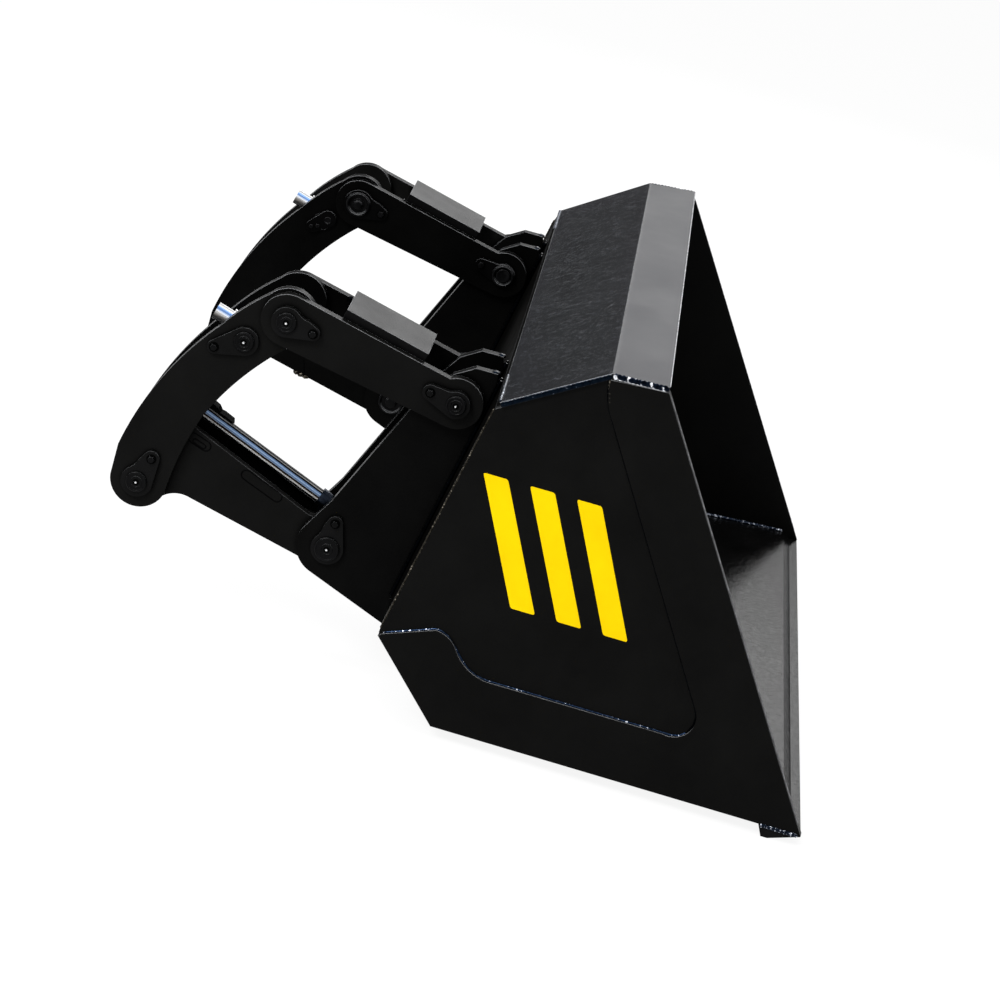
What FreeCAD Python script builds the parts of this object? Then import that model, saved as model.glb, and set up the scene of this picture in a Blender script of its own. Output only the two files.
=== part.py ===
"""Front loader bucket with the two tilt linkages that carry it.

Frame: +Z up, the mouth towards -Y, the linkage towards +Y, the operator's right at -X.
Outlines are drawn from the lip tip (y = 0) and the floor's underside (z = 0). Each body's placement then
moves them, so that the origin is the middle of the centre wear strip's underside, on the ground.
"""
import FreeCAD, Part
import math
import os

import Sketcher
from FreeCAD import Placement, Rotation, Vector

# Driving dimensions in millimetres and degrees
DIMS = {
    "lip_back": 700.0, "edge_thick": 28.0, "edge_depth": 97.0,
    "lip_half": 998.6, "toe_out": 5.427, "body_length": 2300.0, "body_height": 1200.0,
    "side_thick": 12.0, "band_thick": 7.0, "shell_thick": 16.0, "sheet_thick": 12.5,
    "heel_back": 857.0, "rear_back": 1020.0, "rear_up": 176.0, "top_back": 880.0, "top_up": 778.0,
    "ridge_back": 660.0, "ridge_up": 910.0, "brow_back": 534.0, "brow_up": 915.0,
    "strip_width": 90.0, "strip_length": 300.0, "strip_reach": 700.0,
    "set_centre": 584.5, "inner_half": 60.5, "link_half": 83.5, "arm_half": 58.5,
    "plate_thick": 22.0, "arm_thick": 20.0, "web_thick": 15.0, "boss_thick": 6.0,
    "low_back": 1189.0, "low_up": 259.0, "high_back": 977.0, "high_up": 679.0,
    "tip_back": 1388.0, "tip_up": 770.0, "tilt_back": 1475.0, "tilt_up": 693.0,
    "arm_back": 1649.5, "arm_up": 304.5,
    "low_pin": 28.0, "high_pin": 22.0, "tip_pin": 22.5, "tilt_pin": 22.5, "arm_pin": 23.5,
    "running_fit": 0.1, "open_fit": 11.2, "keeper_thick": 9.0, "recess": 3.0, "disc_thick": 5.0,
    "rod_radius": 20.0, "neck_radius": 26.0, "eye_radius": 47.0, "rod_slope": 18.0, "neck_start": 35.0,
    "neck_end": 54.0, "rod_reach": 92.0,
    "level_radius": 15.7, "level_slope": 23.66, "level_length": 420.0, "collar_radius": 21.0,
    "collar_length": 25.0, "post_half": 10.0, "guide_inward": 24.0, "guide_outward": 6.0,
    "box_length": 207.0, "box_above": 20.0, "box_below": 25.0,
}
SIDES = (("right", -1), ("left", 1))

doc = FreeCAD.newDocument("LoaderBucket")
sheet = doc.addObject("Spreadsheet::Sheet", "Dims")
for row, (alias, value) in enumerate(DIMS.items(), 1):
    sheet.set("A%d" % row, alias)
    sheet.set("B%d" % row, str(value))
    sheet.setAlias("B%d" % row, alias)
doc.recompute()
KEPT = []


def dim(alias):
    return float(getattr(sheet, alias))


def pivot(name):
    return dim(name + "_back"), dim(name + "_up")


def move(point, degrees, distance):
    turn = math.radians(degrees)
    return point[0] + distance * math.cos(turn), point[1] + distance * math.sin(turn)


def heading(start, end):
    return math.degrees(math.atan2(end[1] - start[1], end[0] - start[0]))


def meet(a, b, c, d):
    """Where line a-b crosses line c-d."""
    (ax, ay), (bx, by), (cx, cy), (dx, dy) = a, b, c, d
    across = (bx - ax) * (dy - cy) - (by - ay) * (dx - cx)
    along = ((cx - ax) * (dy - cy) - (cy - ay) * (dx - cx)) / across
    return ax + along * (bx - ax), ay + along * (by - ay)


def bend(point):
    """A point that the outline passes through on a round stretch."""
    return ("bend",) + tuple(point)


def round_end(centre, radius, start, end):
    """An arc about a pivot, from one heading to another, as outline entries."""
    middle = (start + end) / 2
    return [move(centre, start, radius), bend(move(centre, middle, radius)), move(centre, end, radius)]


def two_circles(big, big_radius, small, small_radius):
    """The outline of a strap: two round ends and their common tangents."""
    along = heading(big, small)
    spread = math.degrees(math.acos((big_radius - small_radius) / math.dist(big, small)))
    return (round_end(big, big_radius, along + spread, along + 360 - spread)
            + round_end(small, small_radius, along - spread, along + spread))


def flag(pin, radius, keeper, small, side):
    """A keeper flag: a round end about its pin, and a tab whose flank runs in with a hollow on one side."""
    along = heading(pin, keeper)
    spread = math.degrees(math.acos((radius - small) / math.dist(pin, keeper)))
    foot, hollow, shoulder = (move(pin, along + side * turn, radius * reach)
                              for turn, reach in ((27, 1.42), (39, 1.1), (58, 1.0)))
    far = (58 + 360 - spread) / 2
    return [shoulder, bend(hollow), foot, touch(foot, keeper, small, side), bend(move(keeper, along, small)),
            move(keeper, along - side * spread, small), move(pin, along - side * spread, radius),
            bend(move(pin, along + side * far, radius))]


def beside(start, end, offset):
    """The line start-end moved sideways, to its left for a positive offset."""
    turn = heading(start, end) + 90
    return move(start, turn, offset), move(end, turn, offset)


def touch(point, centre, radius, side):
    """Where a line from a point touches a circle, to the left (1) or right (-1) of the centre line."""
    reach = math.degrees(math.acos(radius / math.dist(point, centre)))
    return move(centre, heading(centre, point) - side * reach, radius)


def add_arc(sketch, start, middle, end):
    """A three-point arc. Returns its number and which of its ends is the start."""
    through = Part.Circle(Vector(*start, 0), Vector(*middle, 0), Vector(*end, 0))
    centre, radius = through.Center, through.Radius
    angles = [math.atan2(p[1] - centre.y, p[0] - centre.x) for p in (start, middle, end)]
    forward = (angles[1] - angles[0]) % (2 * math.pi) < (angles[2] - angles[0]) % (2 * math.pi)
    first, last = (angles[0], angles[2]) if forward else (angles[2], angles[0])
    circle = Part.Circle(Vector(centre.x, centre.y, 0), Vector(0, 0, 1), radius)
    number = sketch.addGeometry(Part.ArcOfCircle(circle, first, last), False)
    return number, forward


def draw_outline(sketch, outline):
    """Draw a closed outline of straight and round stretches, joined end to end."""
    joints = []
    count = len(outline)
    spots = [i for i in range(count) if outline[i][0] != "bend"]
    for here, following in zip(spots, spots[1:] + spots[:1]):
        start, end = outline[here], outline[following]
        if (here + 1) % count != following:
            number, forward = add_arc(sketch, start, outline[(here + 1) % count][1:], end)
            joints.append((number, 1, 2) if forward else (number, 2, 1))
        else:
            line = Part.LineSegment(Vector(*start, 0), Vector(*end, 0))
            joints.append((sketch.addGeometry(line, False), 1, 2))
    for (a, _, a_end), (b, b_start, _) in zip(joints, joints[1:] + joints[:1]):
        sketch.addConstraint(Sketcher.Constraint("Coincident", a, a_end, b, b_start))


def draw_circle(sketch, centre, radius):
    """A circle: centre is a pivot's name or a point, radius an expression."""
    spot = pivot(centre) if isinstance(centre, str) else centre
    size = value_of(radius)
    number = sketch.addGeometry(Part.Circle(Vector(*spot, 0), Vector(0, 0, 1), size), False)
    tag = "c%d" % number
    sketch.addConstraint(Sketcher.Constraint("Radius", number, size))
    sketch.renameConstraint(sketch.ConstraintCount - 1, tag + "_size")
    sketch.setExpression("Constraints." + tag + "_size", on_sheet(radius))
    for kind, place, ending in (("DistanceX", spot[0], "_back"), ("DistanceY", spot[1], "_up")):
        sketch.addConstraint(Sketcher.Constraint(kind, -1, 1, number, 3, place))
        sketch.renameConstraint(sketch.ConstraintCount - 1, tag + ending)
        if isinstance(centre, str):
            sketch.setExpression("Constraints." + tag + ending, "Dims." + centre + ending)


def words_of(expression):
    return expression.replace("(", " ( ").replace(")", " ) ").split()


def on_sheet(expression):
    return " ".join("Dims." + w if w in DIMS else w for w in words_of(expression))


def value_of(expression):
    """The number that a sum or product of sheet aliases comes to."""
    total, sign = 0.0, 1.0
    for word in words_of(expression):
        if word in "+-":
            sign = 1.0 if word == "+" else -1.0
        else:
            total += sign * (dim(word) if word in DIMS else float(word))
    return total


def plane_of(body, role):
    return next(f for f in body.Origin.OriginFeatures if f.Role == role)


def new_body(label):
    """A body whose placement turns lip coordinates into the part's frame."""
    body = doc.addObject("PartDesign::Body", label)
    body.Label = label
    body.setExpression("Placement.Base.y", "-Dims.lip_back")
    body.setExpression("Placement.Base.z", "Dims.edge_thick")
    return body


def keep(body):
    KEPT.append(body)
    return body


def layer(body, sign, near, far, outlines=(), circles=(), role="YZ_Plane"):
    """Add a slab between two distances from the middle plane (or two heights)."""
    number = len(body.Group)
    sketch = body.newObject("Sketcher::SketchObject", "%s_sketch%d" % (body.Name, number))
    sketch.AttachmentSupport = [(plane_of(body, role), "")]
    sketch.MapMode = "FlatFace"
    low = on_sheet(near) if sign > 0 else "-(" + on_sheet(far) + ")"
    sketch.setExpression("AttachmentOffset.Base.z", low)
    for outline in outlines:
        draw_outline(sketch, outline)
    for centre, radius in circles:
        draw_circle(sketch, centre, radius)
    feature = body.newObject("PartDesign::Pad", "%s_pad%d" % (body.Name, number))
    feature.Profile = sketch
    feature.setExpression("Length", "(" + on_sheet(far) + ") - (" + on_sheet(near) + ")")
    body.Tip = feature
    return feature


# Places across one linkage, measured from the middle plane
OUT_LOW = "set_centre + inner_half"
OUT_HIGH = OUT_LOW + " + plate_thick"
IN_HIGH = "set_centre - inner_half"
IN_LOW = IN_HIGH + " - plate_thick"
LINK_OUT_LOW = "set_centre + link_half"
LINK_OUT_HIGH = LINK_OUT_LOW + " + plate_thick"
LINK_IN_HIGH = "set_centre - link_half"
LINK_IN_LOW = LINK_IN_HIGH + " - plate_thick"
ARM_OUT_HIGH = "set_centre + arm_half"
ARM_OUT_LOW = ARM_OUT_HIGH + " - arm_thick"
ARM_IN_LOW = "set_centre - arm_half"
ARM_IN_HIGH = ARM_IN_LOW + " + arm_thick"
RECESS_FLOOR = LINK_IN_LOW + " - keeper_thick + recess"


# The bucket's section, from lip to brow: outer corners, then the corners just inside each sheet
LIP = (0.0, 0.0)
HEEL = (dim("heel_back"), 0.0)
REAR = (dim("rear_back"), dim("rear_up"))
TOP = (dim("top_back"), dim("top_up"))
RIDGE = (dim("ridge_back"), dim("ridge_up"))
BROW = (dim("brow_back"), dim("brow_up"))
under_slope = beside(TOP, RIDGE, dim("sheet_thick"))
under_brow = beside(RIDGE, BROW, dim("sheet_thick"))
UNDER_RIDGE = meet(*under_slope, *under_brow)
UNDER_BROW = under_brow[1]
SIDE_TOP = meet(REAR, (886.0, 763.0), *under_slope)
inside_floor = beside(LIP, HEEL, dim("shell_thick"))
inside_heel = beside(HEEL, REAR, dim("shell_thick"))
inside_back = beside(REAR, SIDE_TOP, dim("shell_thick"))
HEEL_IN = meet(*inside_floor, *inside_heel)
REAR_IN = meet(*inside_heel, *inside_back)
TOP_IN = meet(*inside_back, *under_slope)
FLOOR_FRONT = 22.0    # the floor plate starts here, behind the lip's bevel


def slab(label, outline):
    """A section pulled across the whole width, before it is trimmed to the bucket's taper."""
    body = new_body(label)
    layer(body, 1, "0 - body_length / 2", "body_length / 2", [outline])
    return body


def half_width(inset):
    """Half the width between the side plates' faces: at the lip, and how it shrinks per unit of depth."""
    shrink = math.tan(math.radians(dim("toe_out")))
    return dim("lip_half") - inset / math.cos(math.radians(dim("toe_out"))), shrink


def envelope(label, inset):
    """A block with the plan of the bucket, to trim the sheets to their taper."""
    at_lip, shrink = half_width(inset)
    front, rear = -50.0, 1150.0
    wide, narrow = at_lip - shrink * front, at_lip - shrink * rear
    body = new_body(label)
    outline = [(-wide, front), (wide, front), (narrow, rear), (-narrow, rear)]
    layer(body, 1, "0 - edge_thick - edge_thick", "body_height", [outline], role="XY_Plane")
    return body


def trimmed(label, outline, tool):
    common = doc.addObject("Part::Common", label + "_trim")
    common.Base = slab(label + "_slab", outline)
    common.Tool = tool
    common.Label = label
    return keep(common)


def make_shell():
    between = envelope("between_sides", dim("band_thick") + dim("side_thick"))
    whole = envelope("whole_width", 1.0)
    floor = [(FLOOR_FRONT, 0.0), HEEL, HEEL_IN, (FLOOR_FRONT + 20, dim("shell_thick"))]
    trimmed("floor_plate", floor, between)
    trimmed("heel_plate", [HEEL, REAR, REAR_IN, HEEL_IN], between)
    trimmed("back_plate", [REAR, SIDE_TOP, TOP_IN, REAR_IN], between)
    trimmed("top_sheet", [TOP, RIDGE, BROW, UNDER_BROW, UNDER_RIDGE, under_slope[0]], whole)
    depth, thick = dim("edge_depth"), dim("edge_thick")
    edge = [LIP, (0.0, -3.0), (depth - 27, -thick), (depth - 12, -thick), (depth, 0.0)]
    trimmed("cutting_edge", edge, whole)


def slant(outline):
    """Stretch an outline along a side plate, which runs at the toe-out angle."""
    stretch = 1 / math.cos(math.radians(dim("toe_out")))
    return [("bend", p[1] * stretch, p[2]) if p[0] == "bend" else (p[0] * stretch, p[1]) for p in outline]


def side_body(label, sign):
    """A body whose sketches lie along one side plate's outer plane."""
    body = new_body(label)
    body.setExpression("Placement.Base.x", "%d * Dims.lip_half" % sign)
    body.setExpression("Placement.Rotation.Angle", "%d * Dims.toe_out" % sign)
    body.setExpression("Placement.Rotation.Axis.z", "1")
    return body


SIDE = [LIP, HEEL, REAR, SIDE_TOP, UNDER_RIDGE, UNDER_BROW]
BAND_SEAM = [(1010, 183), (897, 227), bend((871, 221)), (841, 192), bend((805, 157)), (761, 142),
             (354, 142), bend((298, 165)), (297, 217), (633, 803), bend((655, 848)), (661, 895)]


def make_sides():
    for side, sign in SIDES:
        plate = side_body("side_plate_" + side, sign)
        layer(plate, -sign, "band_thick", "band_thick + side_thick", [slant(SIDE)])
        keep(plate)
        band = side_body("side_wear_band_" + side, sign)
        outline = [LIP, HEEL, REAR] + BAND_SEAM + [UNDER_BROW]
        layer(band, -sign, "0", "band_thick", [slant(outline)])
        keep(band)


def make_strips():
    """The wear strips under the floor, which the bucket stands on."""
    for name, spot in (("right", "0 - strip_reach - strip_width / 2"), ("centre", "0 - strip_width / 2"),
                       ("left", "strip_reach - strip_width / 2")):
        strip = doc.addObject("Part::Box", "wear_strip_" + name)
        strip.Label = "wear_strip_" + name
        strip.setExpression("Length", "Dims.strip_width")
        strip.setExpression("Width", "Dims.strip_length")
        strip.setExpression("Height", "Dims.edge_thick")
        strip.setExpression("Placement.Base.x", on_sheet(spot))
        strip.setExpression("Placement.Base.y", "-Dims.strip_length / 2")
        keep(strip)


LOW, HIGH, TIP, TILT, ARM = (pivot(n) for n in ("low", "high", "tip", "tilt", "arm"))
# Where each pin's flag is bolted down
KEEPERS = {"low": (1183, 323), "high": (1040, 694), "tip": (1325, 759), "tilt": (1539, 664),
           "arm": (1626, 366)}


def own_hole(name):
    return name, name + "_pin + running_fit"


def boss_ring(body, sign, name, radius, near, far):
    layer(body, sign, near, far, circles=[(name, radius), own_hole(name)])


def bracket_outline():
    """A bucket bracket: welded along the back and heel plates, round about the lower pin."""
    toe = meet(HEEL, REAR, (914, 62), (1229, 196))
    nose = touch((1202, 375), LOW, 73, 1)
    nose_low = move(LOW, heading(toe, (1229, 196)) - 90, 73)
    corner = meet(REAR, SIDE_TOP, (901, 738), (902, 738))
    return [corner, (901, 738), (903, 763), (954, 764), (1000, 737), (1079, 628), (1202, 375), nose,
            bend(move(LOW, -15, 73)), nose_low, toe, REAR]


def make_brackets():
    for side, sign in SIDES:
        for place, near, far in (("outer", OUT_LOW, OUT_HIGH), ("inner", IN_LOW, IN_HIGH)):
            body = new_body("bracket_plate_%s_%s" % (side, place))
            layer(body, sign, near, far, [bracket_outline()], [own_hole("low"), own_hole("high")])
            if place == "inner":
                boss_ring(body, sign, "low", "34", IN_LOW + " - boss_thick", IN_LOW)
            keep(body)


def link_outline():
    """An upper link plate: straight edges between the round ends about its two pins."""
    top_start = (1004, 732)
    top_tip = touch(top_start, TIP, 61, 1)
    along = heading(HIGH, TIP)
    high_end = [move(HIGH, along - 90, 60), bend(move(HIGH, 180, 60)), top_start]
    tip_end = [top_tip, bend(move(TIP, 0, 61)), move(TIP, along - 90, 60)]
    return high_end + tip_end


def make_links():
    for side, sign in SIDES:
        spans = (("outer", LINK_OUT_LOW, LINK_OUT_HIGH), ("inner", LINK_IN_LOW, LINK_IN_HIGH))
        for place, near, far in spans:
            body = new_body("link_plate_%s_%s" % (side, place))
            layer(body, sign, near, far, [link_outline()], [own_hole("high"), own_hole("tip")])
            keep(body)
        box = new_body("link_box_" + side)
        layer(box, sign, LINK_IN_HIGH, LINK_OUT_LOW, [box_outline()])
        keep(box)


def box_outline():
    """The closed box between the link plates, parallel to their upper edge."""
    start, end = (1070, 750), (1269, 804)
    along, length = heading(start, end), dim("box_length")
    low, high = move(start, along - 90, dim("box_below")), move(start, along + 90, dim("box_above"))
    return [low, move(low, along, length), move(high, along, length), high]


def make_retainers():
    """The flags on the inner link plates, which hold the pins' inner ends. One is recessed about its pin."""
    for side, sign in SIDES:
        upper = new_body("upper_pin_retainer_" + side)
        outline = flag(HIGH, 31, KEEPERS["high"], 16, 1)
        layer(upper, sign, LINK_IN_LOW + " - keeper_thick", LINK_IN_LOW, [outline], [own_hole("high")])
        keep(upper)
        tip = new_body("link_pin_retainer_" + side)
        outline = flag(TIP, 38, KEEPERS["tip"], 17, -1)
        layer(tip, sign, RECESS_FLOOR, LINK_IN_LOW, [outline], [own_hole("tip")])
        layer(tip, sign, RECESS_FLOOR + " - recess", RECESS_FLOOR, [outline], [("tip", "28")])
        keep(tip)


def lever_outline():
    """A lever plate, bent like a boomerang about the tilt pin."""
    tip_low = move(TIP, -136, 60)
    outer = [(1713, 305), (1709, 380), bend((1650, 543)), (1535, 715), bend((1490, 769)), (1440, 815)]
    inner = [tip_low, bend((1450, 624)), (1531, 498), bend((1562, 404)), (1583, 289)]
    foot = [bend(move(ARM, 270, 63.5))]
    return outer + [bend(move(TIP, 120, 67)), tip_low] + inner[1:] + foot


def make_levers():
    for side, sign in SIDES:
        for place, near, far in (("outer", OUT_LOW, OUT_HIGH), ("inner", IN_LOW, IN_HIGH)):
            body = new_body("lever_plate_%s_%s" % (side, place))
            holes = [own_hole("arm"), own_hole("tilt"), ("tip", "tip_pin + open_fit")]
            layer(body, sign, near, far, [lever_outline()], holes)
            if place == "inner":
                boss_ring(body, sign, "arm", "34", near + " - boss_thick", near)
            keep(body)


def arm_outline():
    """The loader arm's nose: from the lower bucket pin back to the lever pin."""
    low_start = move(LOW, heading((1255, 212), (1525, 285)) - 90, 62)
    top_end = move(LOW, 110, 62)
    return [top_end, bend(move(LOW, 190, 62)), low_start, (1525, 285), bend((1556, 288)), (1592, 270),
            bend(move(ARM, -45, 58)), move(ARM, 35, 58), (1632, 430), bend((1600, 463)), (1560, 461),
            (1248, 316)]


def make_arms():
    for side, sign in SIDES:
        spans = (("outer", ARM_OUT_LOW, ARM_OUT_HIGH), ("inner", ARM_IN_LOW, ARM_IN_HIGH))
        for place, near, far in spans:
            body = new_body("arm_plate_%s_%s" % (side, place))
            layer(body, sign, near, far, [arm_outline()], [own_hole("low"), own_hole("arm")])
            keep(body)
        web = new_body("arm_web_" + side)
        for name in ("low", "arm"):
            hub = [(name, name + "_pin + web_thick"), own_hole(name)]
            layer(web, sign, ARM_IN_HIGH, ARM_OUT_LOW, circles=hub)
        layer(web, sign, ARM_IN_HIGH, ARM_OUT_LOW, [[WEB_START, WEB_END, WEB_TOP[1], WEB_TOP[0]]])
        keep(web)


def cylinder(label, sign, start, degrees, length, radius):
    """A bar in a linkage's middle plane: start point and slope, then length and radius as expressions."""
    rod = doc.addObject("Part::Cylinder", label)
    rod.Label = label
    rod.Placement = Placement(Vector(0, 0, 0), Rotation(Vector(1, 0, 0), degrees - 90))
    rod.setExpression("Radius", on_sheet(radius))
    rod.setExpression("Height", on_sheet(length))
    rod.setExpression("Placement.Base.x", "%d * Dims.set_centre" % sign)
    rod.setExpression("Placement.Base.y", "%.3f - Dims.lip_back" % start[0])
    rod.setExpression("Placement.Base.z", "%.3f + Dims.edge_thick" % start[1])
    return rod


def joined(label, pieces):
    fuse = doc.addObject("Part::MultiFuse", label)
    fuse.Shapes = pieces
    fuse.Label = label
    return fuse


LEVEL_START = (1205.0, 333.0)
WEB_START, WEB_END = move(LOW, 24, 38), move(ARM, 170, 33)
WEB_TOP = beside(WEB_START, WEB_END, dim("web_thick"))


def over_rod(along, up):
    """A point given by its distance along the level rod and above its axis."""
    slope = dim("level_slope")
    return move(move(LEVEL_START, slope, along), slope + 90, up)


def on_web(points):
    """Close an outline that starts and ends above the arm's web by taking both ends down to it."""
    ends = [meet(p, move(p, 270, 100), *WEB_TOP) for p in (points[-1], points[0])]
    return points + ends


def make_level_rods():
    """The slim rod over each arm, the collar at its low end, and the guide, open on its outer side."""
    slope = dim("level_slope")
    for side, sign in SIDES:
        name = "level_rod_" + side
        keep(cylinder(name, sign, LEVEL_START, slope, "level_length", "level_radius"))
        ring = cylinder(name + "_ring", sign, over_rod(12, 0), slope, "collar_length", "collar_radius")
        post = new_body(name + "_post")
        outline = on_web([over_rod(18, 0), over_rod(34, 0)])
        layer(post, sign, "set_centre - post_half", "set_centre + post_half", [outline])
        keep(bored("level_rod_collar_" + side, sign, [ring, post]))
        plate = new_body(name + "_plate")
        top = [(295, 13), (300, 20.5), (326, 21.5), (334, 20), (345, 27), (392, 30), (400, 22)]
        outline = on_web([over_rod(*p) for p in top])
        layer(plate, sign, "set_centre - guide_inward", "set_centre + guide_outward", [outline])
        keep(bored("level_rod_guide_" + side, sign, [plate]))


def bored(label, sign, pieces):
    """Pieces joined, with the level rod's bore cut through them."""
    bore = cylinder(label + "_bore", sign, LEVEL_START, dim("level_slope"), "level_length",
                    "level_radius + running_fit")
    cut = doc.addObject("Part::Cut", label)
    cut.Base = joined(label + "_solid", pieces) if len(pieces) > 1 else pieces[0]
    cut.Tool, cut.Label = bore, label
    return cut


def make_tilt_rods():
    """The tilt cylinders' rod ends: an eye about the tilt pin, a neck, and a stretch of the rod."""
    slope = dim("rod_slope")
    for side, sign in SIDES:
        name = "tilt_rod_" + side
        eye = new_body(name + "_eye")
        layer(eye, sign, ARM_IN_LOW, ARM_OUT_HIGH, circles=[("tilt", "eye_radius"), own_hole("tilt")])
        start = move(TILT, slope, dim("neck_start"))
        neck = cylinder(name + "_neck", sign, start, slope, "neck_end - neck_start", "neck_radius")
        rod = cylinder(name + "_bar", sign, start, slope, "rod_reach - neck_start", "rod_radius")
        keep(joined(name, [eye, neck, rod]))


# Each pin: the face its flag lies on, its inner end, the flag's thickness, round radius, tab radius and
# hollow side (0 for none), and the radius of the stub on the inner end
PINS = {
    "low": (OUT_HIGH, IN_LOW + " - boss_thick", "keeper_thick", 38, 18, -1, "13"),
    "high": (LINK_OUT_HIGH, LINK_IN_LOW + " - keeper_thick", "keeper_thick + boss_thick", 32, 18, 1, "17.6"),
    "tip": (LINK_OUT_HIGH, RECESS_FLOOR, "keeper_thick + boss_thick", 35, 16, -1, "15.5"),
    "tilt": (OUT_HIGH, IN_LOW, "keeper_thick", 33, 16, 0, ""),
    "arm": (OUT_HIGH, IN_LOW + " - boss_thick", "keeper_thick", 37, 19, -1, "13"),
}
PIN_NAMES = {"low": "lower_bracket_pin", "high": "upper_bracket_pin", "tip": "link_pin", "tilt": "tilt_pin",
             "arm": "arm_pin"}


def make_pins():
    """Each pin with the flag that keeps it from turning, the disc on its head and its inner end."""
    for side, sign in SIDES:
        for name, (face, inner, thick, big, small, hollow, stub) in PINS.items():
            body = new_body(PIN_NAMES[name] + "_" + side)
            layer(body, sign, inner, face, circles=[(name, name + "_pin")])
            ends = (pivot(name), big, KEEPERS[name], small)
            top = face + " + " + thick
            layer(body, sign, face, top, [flag(*ends, hollow) if hollow else two_circles(*ends)])
            layer(body, sign, top, top + " + disc_thick", circles=[(name, name + "_pin")])
            if stub:
                layer(body, sign, inner + " - disc_thick", inner, circles=[(name, stub)])
            keep(body)


def make_bars():
    """The bolted bar over the tilt pin's inner end, wider at its front end."""
    for side, sign in SIDES:
        body = new_body("tilt_pin_bar_" + side)
        outline = two_circles(move(TILT, 142, 20), 22, move(TILT, -38, 27), 16)
        layer(body, sign, IN_LOW + " - keeper_thick", IN_LOW, [outline])
        keep(body)


def check_and_export():
    doc.recompute()
    faults = [o.Name for o in doc.Objects if "Invalid" in o.State or "Error" in o.State]
    for piece in KEPT:
        if piece.Shape.isNull() or not piece.Shape.isValid() or piece.Shape.Volume < 1:
            faults.append(piece.Label + " shape")
    if faults:
        raise RuntimeError("failed objects: " + ", ".join(faults))
    os.makedirs("parts", exist_ok=True)
    for piece in KEPT:
        piece.Shape.exportStep("parts/%s.step" % piece.Label)
        print(piece.Label, len(piece.Shape.Solids), "solid", round(piece.Shape.Volume / 1000), "cm3")


make_shell()
make_sides()
make_strips()
make_brackets()
make_links()
make_retainers()
make_levers()
make_arms()
make_level_rods()
make_tilt_rods()
make_pins()
make_bars()
check_and_export()
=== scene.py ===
"""Studio picture of the front loader bucket and its two tilt linkages."""
import math
import random

import bmesh
import bpy
from mathutils import Matrix, Vector


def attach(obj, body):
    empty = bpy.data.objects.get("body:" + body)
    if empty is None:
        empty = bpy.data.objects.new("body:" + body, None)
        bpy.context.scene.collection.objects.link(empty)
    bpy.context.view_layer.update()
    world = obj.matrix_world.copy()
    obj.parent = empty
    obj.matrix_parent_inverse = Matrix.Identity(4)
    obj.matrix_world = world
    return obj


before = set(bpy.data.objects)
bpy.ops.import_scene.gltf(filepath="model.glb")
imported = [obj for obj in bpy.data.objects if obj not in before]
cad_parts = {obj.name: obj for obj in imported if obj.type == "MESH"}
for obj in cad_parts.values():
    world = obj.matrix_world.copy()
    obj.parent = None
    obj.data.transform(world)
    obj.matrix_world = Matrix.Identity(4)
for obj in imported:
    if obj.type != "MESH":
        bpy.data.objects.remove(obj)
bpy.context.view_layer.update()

# The frame's origin lies this far back from the lip tip and below the floor plate, in metres
LIP_BACK = 0.700
EDGE_THICK = 0.028
# The side plates: half the width at the lip, and how much it shrinks per metre of depth
LIP_HALF = 0.9986
TOE_IN = math.tan(math.radians(5.427))
BAND_THICK = 0.007
SIDE_THICK = 0.012
# A weld inside a side plate lies this deep behind the wear band's outer plane
INSIDE_DEPTH = BAND_THICK + SIDE_THICK + 0.001
# Faces across one linkage, from the bucket's middle plane
LINK_FACE = 0.690            # upper link, outer plate
OUTER_FACE = 0.667           # bracket and lever, outer plate
ARM_FACE = 0.643             # arm, outer plate
ARM_INNER_FACE = 0.526       # arm, inner plate
INNER_FACE = 0.502           # bracket and lever, inner plate
BOSS_FACE = 0.496            # boss about the lower pin, on the inner bracket plate
LINK_INNER_FACE = 0.479      # upper link, inner plate
RETAINER_FACE = 0.470        # flags on the upper link's inner plate
PLATE_THICK = 0.022
KEEPER_THICK = 0.009         # the pins' flags on brackets and levers
LINK_KEEPER_THICK = 0.015    # the thicker flags on the upper links
DISC_THICK = 0.005           # the disc on a pin's head
# Pivots, measured from the lip tip and the floor's underside
PIVOTS = {"low": (1.189, 0.259), "high": (0.977, 0.679), "tip": (1.388, 0.770), "tilt": (1.475, 0.693),
          "arm": (1.6495, 0.3045)}
PIN_RADIUS = {"low": 0.028, "high": 0.022, "tip": 0.0225, "tilt": 0.0225, "arm": 0.0235}
# The body that each pin rides on: the bucket, or a body of its own side
PIN_BODY = {"low": "bucket", "high": "link", "tip": "link", "tilt": "lever", "arm": "lever"}
# Where each pin's flag is bolted down
KEEPERS = {"low": (1.183, 0.323), "high": (1.040, 0.694), "tip": (1.325, 0.759), "tilt": (1.539, 0.664),
           "arm": (1.626, 0.366)}
# The stubs on the pins' inner ends: radius, and how far their faces lie from the middle plane
STUBS = {"low": (0.013, 0.491), "high": (0.0176, 0.465), "tip": (0.0155, 0.468), "arm": (0.013, 0.491)}
SIDES = (("right", -1), ("left", 1))
random.seed(7)


def place(x, back, up):
    """A point given from the lip tip and the floor's underside, in the frame."""
    return Vector((x, back - LIP_BACK, up + EDGE_THICK))


def side_point(sign, back, up, proud=0.0):
    """A point on a side plate's outer plane, or proud of it."""
    return place(sign * (LIP_HALF - TOE_IN * back + proud), back, up)


# Materials

# the black that the painted shade in corners darkens towards
CORNER_SHADE_BLACK = (0.0002, 0.0002, 0.0002)
RUBBED_AND_LIT = (0.52, 0.53, 0.55)          # rubbed paint along an edge, paler where it faces up: wear and painted highlight
RUBBED_AND_LIT_SHEET = (0.60, 0.61, 0.64)    # the same on the top sheet, where it is nearly bare; also a painted highlight


def new_material(name):
    material = bpy.data.materials.new(name)
    material.use_nodes = True
    tree = material.node_tree
    return material, tree, tree.nodes["Principled BSDF"]


def link(tree, start, end):
    tree.links.new(start, end)


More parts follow.
